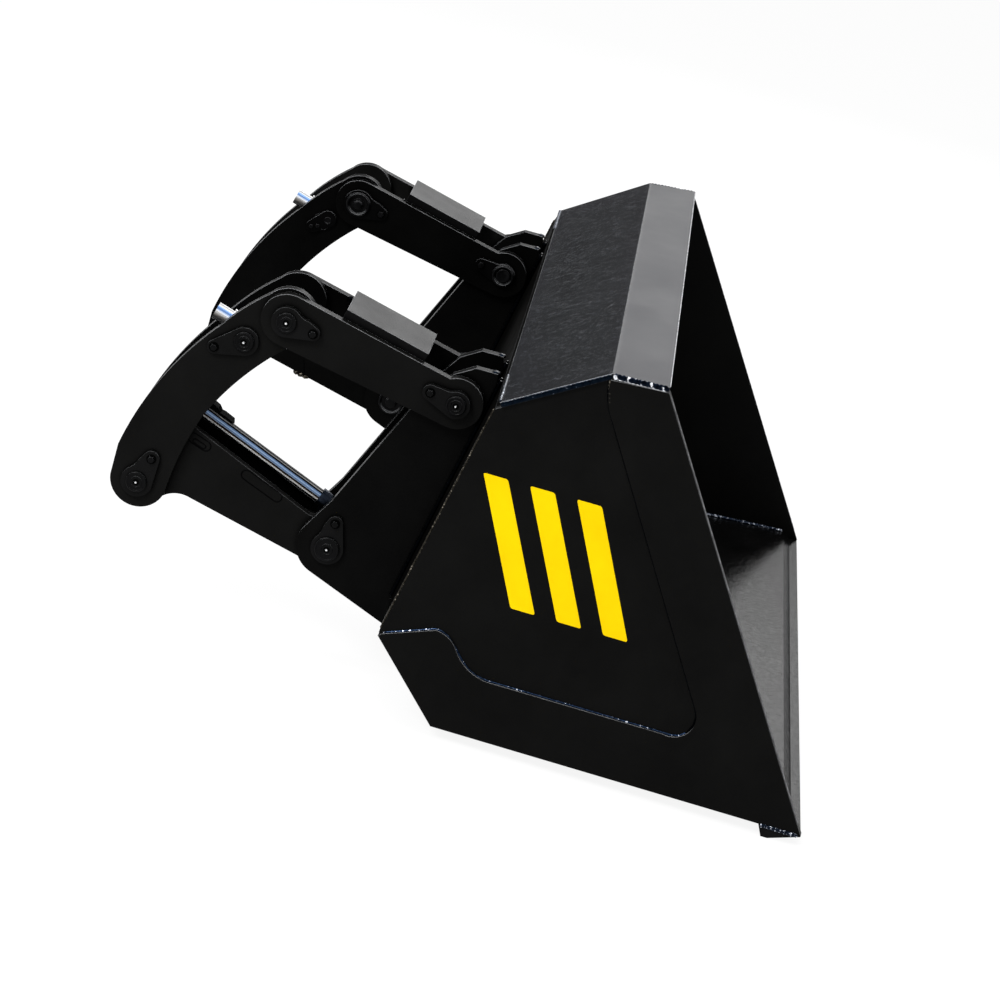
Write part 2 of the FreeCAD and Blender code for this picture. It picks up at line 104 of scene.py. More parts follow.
def add_noise(tree, scale, detail=4.0, rough=0.5, distortion=0.0):
    coords = tree.nodes.new("ShaderNodeTexCoord")
    noise = tree.nodes.new("ShaderNodeTexNoise")
    noise.inputs["Scale"].default_value = scale
    noise.inputs["Detail"].default_value = detail
    noise.inputs["Roughness"].default_value = rough
    noise.inputs["Distortion"].default_value = distortion
    link(tree, coords.outputs["Object"], noise.inputs["Vector"])
    return noise.outputs["Fac"]


def add_ramp(tree, value, stops):
    """stops: (position, grey or colour) pairs"""
    ramp = tree.nodes.new("ShaderNodeValToRGB")
    ramp.color_ramp.elements[0].position = stops[0][0]
    ramp.color_ramp.elements[1].position = stops[-1][0]
    for position, _ in stops[1:-1]:
        ramp.color_ramp.elements.new(position)
    for element, (_, shade) in zip(ramp.color_ramp.elements, stops):
        element.color = (shade, shade, shade, 1) if isinstance(shade, float) else tuple(shade) + (1,)
    link(tree, value, ramp.inputs["Fac"])
    return ramp.outputs["Color"]


def add_math(tree, operation, first, second):
    node = tree.nodes.new("ShaderNodeMath")
    node.operation = operation
    for socket, value in zip(node.inputs, (first, second)):
        if isinstance(value, float):
            socket.default_value = value
        else:
            link(tree, value, socket)
    return node.outputs["Value"]


def add_mix(tree, share, first, second):
    """A blend of two colours, from the first at 0 to the second at 1."""
    mix = tree.nodes.new("ShaderNodeMix")
    mix.data_type = "RGBA"
    link(tree, share, mix.inputs[0])
    for socket, value in ((mix.inputs[6], first), (mix.inputs[7], second)):
        if isinstance(value, tuple):
            socket.default_value = value + (1,)
        else:
            link(tree, value, socket)
    return mix.outputs[2]


def add_axis(tree, vector, axis):
    split = tree.nodes.new("ShaderNodeSeparateXYZ")
    link(tree, vector, split.inputs["Vector"])
    return split.outputs[axis]


def add_bevel(tree, radius):
    bevel = tree.nodes.new("ShaderNodeBevel")
    bevel.samples = 6
    bevel.inputs["Radius"].default_value = radius
    return bevel.outputs["Normal"]


def add_worn_edge_highlight(tree, radius, level, strength):
    """Wear and painted highlight: pale along the edges that face up, where the rounded normal departs from
    the flat one.
    """
    rounded = add_bevel(tree, radius)
    geometry = tree.nodes.new("ShaderNodeNewGeometry")
    agree = tree.nodes.new("ShaderNodeVectorMath")
    agree.operation = "DOT_PRODUCT"
    link(tree, rounded, agree.inputs[0])
    link(tree, geometry.outputs["Normal"], agree.inputs[1])
    edge = add_ramp(tree, agree.outputs["Value"], [(0.82, strength), (0.985, 0.0)])
    facing = add_ramp(tree, add_axis(tree, rounded, "Z"), [(level, 0.0), (level + 0.35, 1.0)])
    uneven = add_ramp(tree, add_noise(tree, 35.0, 3.0), [(0.3, 0.55), (0.6, 1.0)])
    return add_math(tree, "MULTIPLY", add_math(tree, "MULTIPLY", edge, facing), uneven)


def add_corner_shade(tree, reach):
    """Painted shade in the corners: from 0 where pieces meet to 1 on open faces."""
    corner = tree.nodes.new("ShaderNodeAmbientOcclusion")
    corner.samples = 8
    corner.inputs["Distance"].default_value = reach
    return add_ramp(tree, corner.outputs["AO"], [(0.35, 0.0), (0.85, 1.0)])


def add_bump(tree, bsdf, height, strength, distance, edge=0.0):
    bump = tree.nodes.new("ShaderNodeBump")
    bump.inputs["Strength"].default_value = strength
    bump.inputs["Distance"].default_value = distance
    link(tree, height, bump.inputs["Height"])
    if edge:
        link(tree, add_bevel(tree, edge), bump.inputs["Normal"])
    link(tree, bump.outputs["Normal"], bsdf.inputs["Normal"])


def paint(name, dark, pale, smooth, rough, ior, peel=0.25, wear_and_highlight=0.6, edge=0.0025, corner_shade=0.0):
    """Sprayed machine paint: slightly uneven colour and gloss, orange peel, rubbed edges on top that are
    paler as a painted highlight, and, where asked, painted shade in corners.

    edge is the radius of the rubbed edges, which carry a painted highlight, and the last argument is how
    far from a corner the painted shade reaches, in metres.
    """
    material, tree, bsdf = new_material(name)
    patches = add_noise(tree, 7.0, 6.0, 0.6)
    colour = add_ramp(tree, patches, [(0.3, dark), (0.72, pale)])
    if corner_shade:
        # painted shade: darker in the corners where pieces meet
        colour = add_mix(tree, add_corner_shade(tree, corner_shade), CORNER_SHADE_BLACK, colour)
    if wear_and_highlight:
        # rubbed edges that face up: wear and painted highlight
        colour = add_mix(tree, add_worn_edge_highlight(tree, edge, 0.15, wear_and_highlight), colour, RUBBED_AND_LIT)
    link(tree, colour, bsdf.inputs["Base Color"])
    link(tree, add_ramp(tree, patches, [(0.3, smooth), (0.75, rough)]), bsdf.inputs["Roughness"])
    bsdf.inputs["IOR"].default_value = ior
    add_bump(tree, bsdf, add_noise(tree, 260.0, 2.0), peel, 0.0005, edge)
    return material


def plate_paint(name, dark, pale, ior, smooth=0.26, rough=0.38, wear_and_highlight=0.80):
    """Paint on the linkage's plates, with painted shade where they meet."""
    return paint(name, dark, pale, smooth, rough, ior, peel=0.2, wear_and_highlight=wear_and_highlight, corner_shade=0.022)


def sheet_paint(name, ridge):
    """Paint on the top sheet: smooth on the flat brow and paler there as a painted highlight, darker and
    full of fine swirls behind the ridge.
    """
    material, tree, bsdf = new_material(name)
    coords = tree.nodes.new("ShaderNodeTexCoord")
    wobble = add_math(tree, "MULTIPLY", add_noise(tree, 120.0, 4.0, 0.6), 0.010)
    back = add_math(tree, "ADD", add_axis(tree, coords.outputs["Object"], "Y"), wobble)
    slope = add_ramp(tree, add_math(tree, "SUBTRACT", back, ridge - 0.002), [(0.0, 0.0), (0.010, 1.0)])
    waves = add_math(tree, "MULTIPLY", add_noise(tree, 34.0, 2.0, distortion=1.0), 26.0)
    swirls = add_math(tree, "SINE", waves, 0.0)
    patchy = add_ramp(tree, add_noise(tree, 30.0, 3.0, 0.6), [(0.40, 0.20), (0.62, 1.0)])
    strokes = add_math(tree, "MULTIPLY", add_ramp(tree, swirls, [(0.80, 0.0), (1.0, 1.0)]), patchy)
    clouds = add_noise(tree, 5.0, 5.0, 0.6)
    dusty = add_ramp(tree, clouds, [(0.3, (0.0028, 0.0031, 0.0040)), (0.7, (0.0072, 0.0078, 0.0093))])
    fine = add_mix(tree, strokes, dusty, (0.028, 0.031, 0.037))
    # the brow's paler tone is a painted highlight of the face that looks up
    plain = add_ramp(tree, clouds, [(0.3, (0.028, 0.028, 0.032)), (0.75, (0.038, 0.038, 0.043))])
    colour = add_mix(tree, slope, plain, fine)
    # rubbed edges, paler where they face up: wear and painted highlight
    colour = add_mix(tree, add_worn_edge_highlight(tree, 0.003, 0.05, 0.75), colour, RUBBED_AND_LIT_SHEET)
    link(tree, colour, bsdf.inputs["Base Color"])
    gloss = add_mix(tree, slope, add_ramp(tree, clouds, [(0.3, 0.36), (0.75, 0.46)]), (0.22, 0.22, 0.22))
    link(tree, gloss, bsdf.inputs["Roughness"])
    bsdf.inputs["IOR"].default_value = 1.12
    add_bump(tree, bsdf, add_math(tree, "MULTIPLY", strokes, slope), 0.22, 0.0010, 0.004)
    return material


def floor_paint(name):
    """Paint inside the bucket's floor: semi-gloss, with a wavy orange peel that breaks its reflections."""
    material, tree, bsdf = new_material(name)
    patches = add_noise(tree, 9.0, 6.0, 0.6)
    link(tree, add_ramp(tree, patches, [(0.3, 0.002), (0.75, 0.005)]), bsdf.inputs["Base Color"])
    link(tree, add_ramp(tree, patches, [(0.3, 0.11), (0.75, 0.17)]), bsdf.inputs["Roughness"])
    bsdf.inputs["IOR"].default_value = 1.13
    add_bump(tree, bsdf, add_noise(tree, 75.0, 4.0, 0.6, distortion=1.8), 0.5, 0.0012, 0.002)
    return material


def metal(name, dark, pale, smooth, rough, scale):
    """Bare or blackened metal in uneven patches, with a fine grain."""
    material, tree, bsdf = new_material(name)
    patches = add_noise(tree, scale, 5.0, 0.55)
    link(tree, add_ramp(tree, patches, [(0.3, dark), (0.7, pale)]), bsdf.inputs["Base Color"])
    link(tree, add_ramp(tree, patches, [(0.3, smooth), (0.7, rough)]), bsdf.inputs["Roughness"])
    bsdf.inputs["Metallic"].default_value = 1.0
    add_bump(tree, bsdf, add_noise(tree, scale * 12, 2.0), 0.1, 0.0004)
    return material


def chrome(name, bands):
    """Hard chrome with a painted reflection: bands round the rod by the way its surface faces, with faint
    polishing marks.
    """
    material, tree, bsdf = new_material(name)
    geometry = tree.nodes.new("ShaderNodeNewGeometry")
    level = add_axis(tree, geometry.outputs["Normal"], "Z")
    marks = add_math(tree, "MULTIPLY", add_noise(tree, 18.0, 4.0), 0.04)
    half = add_math(tree, "MULTIPLY", level, 0.5)
    level = add_math(tree, "ADD", half, add_math(tree, "ADD", marks, 0.48))
    # the bands are a painted reflection, set by which way the surface faces
    link(tree, add_ramp(tree, level, bands), bsdf.inputs["Base Color"])
    link(tree, add_ramp(tree, add_noise(tree, 60.0), [(0.3, 0.08), (0.7, 0.16)]), bsdf.inputs["Roughness"])
    bsdf.inputs["Metallic"].default_value = 0.4
    bsdf.inputs["IOR"].default_value = 1.15
    return material


def bead(name, dark, pale, glint, share, scale=150.0):
    """Weld metal under thin paint: dark, with bare spots that glint above the share given."""
    material, tree, bsdf = new_material(name)
    patches = add_noise(tree, scale, 3.0, 0.6)
    link(tree, add_ramp(tree, patches, [(0.32, dark), (share - 0.03, pale), (share, glint)]),
         bsdf.inputs["Base Color"])
    link(tree, add_ramp(tree, patches, [(0.3, 0.22), (0.7, 0.42)]), bsdf.inputs["Roughness"])
    bsdf.inputs["Metallic"].default_value = 1.0
    add_bump(tree, bsdf, add_noise(tree, 420.0, 3.0), 0.5, 0.0006)
    return material


# In these paints the rubbed edges that face up are wear and painted highlight, and the darkening in
# corners is painted shade.
DARK, PALE = (0.0027, 0.0027, 0.0026), (0.0046, 0.0046, 0.0044)
LIFTED, PALE_LIFTED = (0.0038, 0.0038, 0.0037), (0.0058, 0.0058, 0.0056)
BLACK_PAINT = paint("black_machine_paint", DARK, PALE, 0.30, 0.42, ior=1.10)
PLATE_PAINT = plate_paint("black_plate_paint", LIFTED, PALE_LIFTED, ior=1.085)
# a darker copy of the plate paint for the inner plates: painted shade
SHADED_INNER_PAINT = plate_paint("black_inner_paint_painted_shade", 0.0010, (0.0022, 0.0022, 0.0021), ior=1.065)
BRACKET_PAINT = plate_paint("black_bracket_paint", 0.0018, (0.0034, 0.0034, 0.0033), ior=1.075)
ARM_PAINT = plate_paint("black_arm_paint", LIFTED, PALE_LIFTED, ior=1.085, smooth=0.30, rough=0.42,
                        wear_and_highlight=0.25)
BOX_PAINT = paint("black_box_paint", (0.0012, 0.0012, 0.0013), (0.0030, 0.0030, 0.0032), 0.34, 0.44,
                  ior=1.155, peel=0.3, wear_and_highlight=0.85, edge=0.0028)
BACK_PAINT = paint("black_back_paint", 0.0008, (0.0020, 0.0019, 0.0017), 0.55, 0.70,
                   ior=1.045, peel=0.3, wear_and_highlight=0.25)
GUIDE_PAINT = paint("black_guide_paint", 0.0006, 0.0016, 0.35, 0.5,
                    ior=1.04, peel=0.3, wear_and_highlight=0.15, edge=0.0012)
SHEET_PAINT = sheet_paint("black_sheet_paint", ridge=-0.040)
FLOOR_PAINT = floor_paint("black_floor_paint")
PIN_PAINT = paint("black_pin_paint", DARK, (0.0056, 0.0056, 0.0058), 0.24, 0.36,
                  ior=1.11, wear_and_highlight=0.30, edge=0.0015, corner_shade=0.008)
RETAINER_PAINT = paint("black_retainer_paint", 0.0008, (0.0020, 0.0020, 0.0021), 0.24, 0.36,
                       ior=1.07, peel=0.2, wear_and_highlight=0.55, edge=0.0016, corner_shade=0.010)
COLLAR_PAINT = paint("black_collar_paint", (0.0008, 0.0008, 0.0009), (0.0022, 0.0023, 0.0026), 0.22, 0.34,
                     ior=1.13, peel=0.2, wear_and_highlight=0.45, edge=0.0045, corner_shade=0.010)
RING_PAINT = paint("black_ring_paint", (0.0012, 0.0012, 0.0013), (0.0032, 0.0033, 0.0036), 0.22, 0.34,
                   ior=1.13, peel=0.2, wear_and_highlight=0.32, edge=0.0009)
# a dark paint that stands for the shade in a recess: painted shade
HOLE_SHADE = paint("grease_hole_painted_shade", 0.0004, 0.0012, 0.5, 0.7, ior=1.05, peel=0.4, wear_and_highlight=0.0, edge=0.0003)
SEAM_GAP = paint("dark_seam", (0.0003, 0.0003, 0.0004), (0.0010, 0.0010, 0.0012), 0.4, 0.6,
                 ior=1.08, peel=0.4, wear_and_highlight=0.0, edge=0.0003)
YELLOW = paint("warning_yellow", (0.88, 0.57, 0.0002), (0.95, 0.65, 0.0008), 0.38, 0.5,
               ior=1.10, peel=0.15, wear_and_highlight=0.0, edge=0.0004)
DARK_STEEL = metal("blackened_steel", (0.010, 0.014, 0.022), (0.030, 0.038, 0.055), 0.25, 0.42, 60.0)
# thin lines of bare metal along edges, partly a painted highlight of the edges catching light
DULL_EDGE_HIGHLIGHT = metal("dull_edge_highlight", (0.02, 0.022, 0.025), (0.20, 0.21, 0.23), 0.30, 0.45, 70.0)
BARE_EDGE_HIGHLIGHT = metal("bare_edge_highlight", (0.10, 0.10, 0.11), (0.62, 0.63, 0.66), 0.25, 0.40, 55.0)
NIPPLE = metal("zinc_nipple", (0.80, 0.82, 0.84), 0.95, 0.2, 0.3, 120.0)
# The rods' bands of painted reflection, from the surface that faces down (0) to the one that faces up (1)
LEVEL_ROD_PAINTED_REFLECTION = chrome("level_rod_chrome_painted_reflection", [
    (0.26, 0.01), (0.28, 0.98), (0.385, (0.98, 0.97, 0.95)), (0.40, (0.16, 0.11, 0.08)), (0.45, 0.004),
    (0.54, 0.004), (0.555, (0.30, 0.36, 0.46)), (0.575, (0.11, 0.18, 0.32)), (0.66, (0.17, 0.26, 0.42)),
    (0.69, (0.32, 0.42, 0.58)), (0.72, (0.16, 0.25, 0.41)), (0.785, (0.08, 0.13, 0.24)), (0.80, 0.002),
    (0.87, 0.002), (0.885, 0.34), (0.91, 0.34), (0.925, 0.0)])
TILT_ROD_PAINTED_REFLECTION = chrome("tilt_rod_chrome_painted_reflection", [
    (0.30, 0.05), (0.45, (0.16, 0.15, 0.14)), (0.52, (0.32, 0.31, 0.30)), (0.58, 0.62),
    (0.64, 0.85), (0.70, (0.55, 0.66, 0.85)), (0.76, (0.12, 0.22, 0.45)), (0.86, (0.16, 0.27, 0.52)),
    (0.90, 0.45)])
GLINT = (0.72, 0.76, 0.85)
WELD_BLUE = bead("weld_blue", (0.003, 0.006, 0.014), (0.018, 0.032, 0.066), GLINT, 0.66)
WELD_NAVY = bead("weld_navy", (0.0015, 0.003, 0.006), (0.004, 0.0075, 0.0135), (0.16, 0.18, 0.22),
                 0.70, 90.0)
WELD_BROW = bead("weld_brow", (0.0008, 0.0012, 0.0022), (0.006, 0.010, 0.020), (0.85, 0.87, 0.92),
                 0.62, 75.0)
WELD_BRIGHT = bead("weld_bright", (0.002, 0.004, 0.008), (0.014, 0.020, 0.034), GLINT, 0.62, 200.0)
WELD_DARK = bead("weld_dark", (0.0002, 0.0002, 0.0003), (0.0014, 0.0018, 0.0028), (0.08, 0.09, 0.11), 0.76)
WELD_BROWN = bead("weld_brown", (0.010, 0.009, 0.007), (0.045, 0.040, 0.032), (0.30, 0.27, 0.22), 0.64)
SEAM_BROWN = bead("seam_brown", (0.004, 0.004, 0.003), (0.050, 0.045, 0.036), (0.40, 0.36, 0.30),
                  0.60, 110.0)

# What each CAD node is dressed in, by the start of its name. The first row that fits counts.
DRESS = (
    (("tilt_rod",), TILT_ROD_PAINTED_REFLECTION),
    (("level_rod_right", "level_rod_left"), LEVEL_ROD_PAINTED_REFLECTION),
    (("level_rod_collar",), DARK_STEEL),
    (("level_rod_guide",), GUIDE_PAINT),
    (("upper_pin_retainer", "link_pin_retainer", "tilt_pin_bar"), RETAINER_PAINT),
    (("lower_bracket_pin", "upper_bracket_pin", "link_pin", "tilt_pin", "arm_pin"), PIN_PAINT),
    (("top_sheet",), SHEET_PAINT),
    (("floor_plate", "cutting_edge"), FLOOR_PAINT),
    (("back_plate",), BACK_PAINT),
    (("bracket_plate",), BRACKET_PAINT),
    (("arm_",), ARM_PAINT),
    (("link_box",), BOX_PAINT),
    (("lever_plate", "link_plate"), PLATE_PAINT))


def finish_of(name):
    """A CAD node's material. The inner plate of each pair is darker than the outer one, as painted shade.
    """
    if "_plate_" in name and name.endswith("_inner"):
        return SHADED_INNER_PAINT
    for starts, material in DRESS:
        if name.startswith(starts):
            return material
    return BLACK_PAINT


def dress_nodes():
    for name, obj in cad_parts.items():
        obj.data.materials.clear()
        obj.data.materials.append(finish_of(name))


# Mesh helpers

def new_piece(name, verts, faces, material, body, sharp=35):
    """A mesh object that rides on a body. Edges bent by more than sharp degrees stay sharp."""
    mesh = bpy.data.meshes.new(name)
    mesh.from_pydata([tuple(v) for v in verts], [], faces)
    shape = bmesh.new()
    shape.from_mesh(mesh)
    bmesh.ops.recalc_face_normals(shape, faces=shape.faces)
    shape.to_mesh(mesh)
    shape.free()
    mesh.polygons.foreach_set("use_smooth", [True] * len(mesh.polygons))
    mesh.set_sharp_from_angle(angle=math.radians(sharp))
    mesh.materials.append(material)
    piece = bpy.data.objects.new(name, mesh)
    bpy.context.scene.collection.objects.link(piece)
    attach(piece, body)
    return piece


def bridge(count, around):
    """The faces of a closed skin over rings of points, with a cap at each end."""
    faces = [tuple(range(around)), tuple(range((count - 1) * around, count * around))]
    for n in range(count - 1):
        for k in range(around):
            a, b = n * around + k, n * around + (k + 1) % around
            faces.append((a, b, b + around, a + around))
    return faces


def turned(name, sign, out, pivot, profile, material, body, around=28):
    """A turned piece on a face across the bucket: profile gives (radius, height over the face).

    A face below zero faces the bucket's middle plane, and one above zero faces away from it.
    """
    centre = place(sign * abs(out), *pivot)
    outward = sign if out > 0 else -sign
    verts = []
    for radius, height in profile:
        for k in range(around):
            turn = 2 * math.pi * k / around
            offset = (outward * height, radius * math.cos(turn), radius * math.sin(turn))
            verts.append(centre + Vector(offset))
    return new_piece(name, verts, bridge(len(profile), around), material, body)


def evenly(points, step):
    """Points a step apart along a run of straight stretches."""
    result = []
    for start, end in zip(points, points[1:]):
        count = max(1, round((end - start).length / step))
        result += [start.lerp(end, n / count) for n in range(count)]
    return result + [points[-1]]


def weld(name, points, radius, material, body="bucket", ripple=0.12, pitch=0.009, flat=1.0, outward=None):
    """A weld bead: a rippled tube along a run of points, pressed to the share flat of its height."""
    path = evenly(points, pitch / 2)
    around = 8
    verts = []
    for n, point in enumerate(path):
        ahead = path[min(n + 1, len(path) - 1)] - path[max(n - 1, 0)]
        ahead.normalize()
        side = ahead.orthogonal() if outward is None else outward - ahead * ahead.dot(outward)
        side.normalize()
        other = ahead.cross(side)
        reach = radius * (1 + ripple * (1 if n % 2 else -1) + ripple * random.uniform(-0.5, 0.5))
        if n in (0, len(path) - 1):
            reach *= 0.35
        for k in range(around):
            turn = 2 * math.pi * k / around
            verts.append(point + side * math.cos(turn) * reach * flat + other * math.sin(turn) * reach)
    return new_piece(name, verts, bridge(len(path), around), material, body, 60)


def lump(name, centre, size, material, body):
    """A small irregular blob of weld metal."""
    shape = bmesh.new()
    bmesh.ops.create_icosphere(shape, subdivisions=2, radius=1.0)
    verts = [centre + Vector(v.co[i] * size[i] * random.uniform(0.82, 1.15) for i in range(3))
             for v in shape.verts]
    faces = [tuple(v.index for v in f.verts) for f in shape.faces]
    shape.free()
    return new_piece(name, verts, faces, material, body, 60)


# Studio

CAMERA_PLACE = Vector((-6.95777, 0.06552, 2.71537))
CAMERA_TARGET = Vector((-0.165938, 0.13608, 0.326698))
CAMERA_ROLL = math.radians(14.0643)
CAMERA_LENS = 105.68
FLOOR_HALF = 40.0
FLOOR_PALE = 0.92         # the floor's own colour, as the light meets it
SEEN_FLOOR = 0.85         # the share of plain white in the floor as a camera or a reflection sees it
WORLD_STRENGTH = 0.55     # of the world as a light. It is 1 where it is seen.
# The lamps: where each stands, what it aims at, its size in metres and its power in watts
LAMPS = {"key": ((-4.2, 3.6, 5.2), (-0.4, 0.4, 0.4), (2.2, 2.2), 330),
         "sky": ((0.0, 1.0, 6.0), (0, 0.3, 0.4), (5.0, 5.0), 220),
         "far_panel": ((6.4, -0.9, 3.4), (0, -0.1, 0.5), (3.1, 2.4), 99)}


def make_camera():
    data = bpy.data.cameras.new("camera")
    data.lens = CAMERA_LENS
    data.sensor_width = 36.0
    data.sensor_fit = "HORIZONTAL"
    camera = bpy.data.objects.new("camera", data)
    bpy.context.scene.collection.objects.link(camera)
    aim = (CAMERA_TARGET - CAMERA_PLACE).to_track_quat("-Z", "Y").to_matrix()
    turned_aim = aim @ Matrix.Rotation(CAMERA_ROLL, 3, "Z")
    camera.matrix_world = Matrix.Translation(CAMERA_PLACE) @ turned_aim.to_4x4()
    bpy.context.scene.camera = camera


def add_lamp(name, spot, target, size, energy):
    data = bpy.data.lights.new(name, "AREA")
    data.shape = "RECTANGLE"
    data.size, data.size_y = size
    data.energy = energy
    lamp = bpy.data.objects.new(name, data)
    bpy.context.scene.collection.objects.link(lamp)
    lamp.location = spot
    lamp.rotation_euler = (Vector(target) - Vector(spot)).to_track_quat("-Z", "Y").to_euler()


def add_seen(tree):
    """1 where the camera, a reflection or a view through glass meets the surface, else 0."""
    paths = tree.nodes.new("ShaderNodeLightPath")
    seen = add_math(tree, "MAXIMUM", paths.outputs["Is Camera Ray"], paths.outputs["Is Glossy Ray"])
    return add_math(tree, "MAXIMUM", seen, paths.outputs["Is Transmission Ray"])


def make_world():
    """White where the camera sees it, grey below the horizon in reflections, and softer as a light."""
    world = bpy.data.worlds.new("studio")
    bpy.context.scene.world = world
    world.use_nodes = True
    tree = world.node_tree
    back = tree.nodes["Background"]
    coords = tree.nodes.new("ShaderNodeTexCoord")
    height = add_axis(tree, coords.outputs["Generated"], "Z")
    sky = add_ramp(tree, height, [(0.16, (0.11, 0.11, 0.12)), (0.30, (1.0, 1.0, 1.0))])
    paths = tree.nodes.new("ShaderNodeLightPath")
    link(tree, add_mix(tree, paths.outputs["Is Camera Ray"], sky, (1.0, 1.0, 1.0)), back.inputs["Color"])
    strength = tree.nodes.new("ShaderNodeMapRange")
    strength.inputs["To Min"].default_value = WORLD_STRENGTH
    strength.inputs["To Max"].default_value = 1.0
    link(tree, add_seen(tree), strength.inputs["Value"])
    link(tree, strength.outputs["Result"], back.inputs["Strength"])


def make_floor():
    """A pale matt floor that takes the shadow, mixed with plain white where it is seen."""
    corners = [(x * FLOOR_HALF, y * FLOOR_HALF, 0) for x, y in ((-1, -1), (1, -1), (1, 1), (-1, 1))]
    mesh = bpy.data.meshes.new("studio_floor")
    mesh.from_pydata(corners, [], [(0, 1, 2, 3)])
    floor = bpy.data.objects.new("studio_floor", mesh)
    bpy.context.scene.collection.objects.link(floor)
    material, tree, bsdf = new_material("studio_floor")
    bsdf.inputs["Base Color"].default_value = (FLOOR_PALE, FLOOR_PALE, FLOOR_PALE, 1)
    bsdf.inputs["Roughness"].default_value = 0.9
    bsdf.inputs["Specular IOR Level"].default_value = 0.0
    glow = tree.nodes.new("ShaderNodeEmission")
    glow.inputs["Color"].default_value = (1, 1, 1, 1)
    glow.inputs["Strength"].default_value = 1.05
    mix = tree.nodes.new("ShaderNodeMixShader")
    link(tree, add_math(tree, "MULTIPLY", add_seen(tree), SEEN_FLOOR), mix.inputs["Fac"])
    link(tree, bsdf.outputs["BSDF"], mix.inputs[1])
    link(tree, glow.outputs["Emission"], mix.inputs[2])
    link(tree, mix.outputs["Shader"], tree.nodes["Material Output"].inputs["Surface"])
    mesh.materials.append(material)


def make_studio():
    bpy.context.scene.view_settings.view_transform = "Standard"
    make_camera()
    make_world()
    make_floor()
    for name, (spot, target, size, watts) in LAMPS.items():
        add_lamp(name, spot, target, size, watts)


# Details on the pins: turned profiles, as (radius, height over the face) pairs

GREASE_HOLE = [(0.0074, 0.0), (0.0072, 0.0008), (0.0062, 0.0010), (0.0055, 0.0006)]
GREASE_NIPPLE = [(0.0030, 0.0), (0.0030, 0.0025), (0.0024, 0.0040), (0.0012, 0.0046)]
WASHER = [(0.0112, -0.0005), (0.0112, 0.0016), (0.0104, 0.0024), (0.0070, 0.0024)]
BOLT_HEAD = [(0.0086, 0.0020), (0.0086, 0.0062), (0.0076, 0.0076), (0.0040, 0.0080)]
TIP_HUB = [(0.0120, -0.001), (0.0120, 0.0045), (0.0100, 0.0068), (0.0060, 0.0078)]
LOW_HUB = [(0.0155, -0.004), (0.0155, 0.0030), (0.0130, 0.0058), (0.0070, 0.0068)]
LOW_COLLAR = [(0.0343, -0.002), (0.0343, 0.0030), (0.0318, 0.0055), (0.0285, 0.0055), (0.0270, 0.0012),
              (0.0240, 0.0006)]
BAR_BOLT = [(0.0062, 0.0), (0.0062, 0.0030), (0.0052, 0.0042), (0.0030, 0.0044)]
BAR_RING = [(0.0100, 0.0), (0.0098, 0.0012), (0.0080, 0.0012), (0.0072, 0.0003), (0.0030, 0.0003)]
# The collars on the upper link's inner flags, by radius
LINK_COLLARS = {"high": 0.0300, "tip": 0.0325}
# On the bar over the tilt pin's inner end: its two bolts and the ring over the pin
BAR_BOLTS = ((1.482, 0.681), (1.498, 0.676))
BAR_RING_PLACE = (1.459, 0.701)


def pin_head(name, sign, face, pivot, radius, body):
    """The chamfered rim and inner ring of a pin's head, and the grease nipple in its hole, which is
    darkened with painted shade.
    """
    rim = [(radius + 0.0008, -0.004), (radius + 0.0008, -0.0004), (radius - 0.0008, 0.0010),
           (radius - 0.0030, 0.0010), (radius - 0.0040, 0.0003), (0.0145, 0.0003), (0.0137, 0.0012),
           (0.0118, 0.0012), (0.0108, 0.0003), (0.0060, 0.0003)]
    turned("pin_rim_" + name, sign, face, pivot, rim, RING_PAINT, body, around=40)
    turned("grease_hole_" + name, sign, face, pivot, GREASE_HOLE, HOLE_SHADE, body)
    turned("grease_nipple_" + name, sign, face, pivot, GREASE_NIPPLE, NIPPLE, body, 12)


def keeper_bolt(name, sign, face, pivot, body):
    """A keeper bolt: a washer, darkened with painted shade, and a chamfered hexagon head."""
    turned("bolt_washer_" + name, sign, face, pivot, WASHER, HOLE_SHADE, body)
    turned("bolt_head_" + name, sign, face, pivot, BOLT_HEAD, RING_PAINT, body, around=6)


def pin_body(side, name):
    return PIN_BODY[name] if name == "low" else side + "_" + PIN_BODY[name]


def make_inner_ends(side, sign):
    """Rings, collars and hubs on the pins' inner ends, and the bolts of the upper link's inner flags."""
    chain = side + "_link"
    for name, (radius, face) in STUBS.items():
        ring = [(radius + 0.0006, -0.003), (radius + 0.0006, 0.0), (radius - 0.0008, 0.0009),
                (radius - 0.0028, 0.0009), (radius - 0.0040, 0.0002), (0.0040, 0.0002)]
        turned("pin_end_%s_%s" % (side, name), sign, -face, PIVOTS[name], ring, RING_PAINT,
               pin_body(side, name))
    for name, radius in LINK_COLLARS.items():
        keeper_bolt("inner_%s_%s" % (side, name), sign, -RETAINER_FACE, KEEPERS[name], chain)
        collar = [(radius, -0.002), (radius, 0.0040), (radius - 0.0030, 0.0075), (radius - 0.0070, 0.0075),
                  (radius - 0.0085, 0.0020), (radius - 0.0110, 0.0012)]
        turned("pin_collar_%s_%s" % (side, name), sign, -RETAINER_FACE, PIVOTS[name], collar, COLLAR_PAINT,
               chain, around=40)
    turned("pin_hub_" + side, sign, -STUBS["tip"][1], PIVOTS["tip"], TIP_HUB, COLLAR_PAINT, chain)
    turned("pin_collar_%s_low" % side, sign, -BOSS_FACE, PIVOTS["low"], LOW_COLLAR, COLLAR_PAINT, "bucket",
           around=40)
    turned("pin_hub_%s_low" % side, sign, -STUBS["low"][1], PIVOTS["low"], LOW_HUB, COLLAR_PAINT, "bucket")


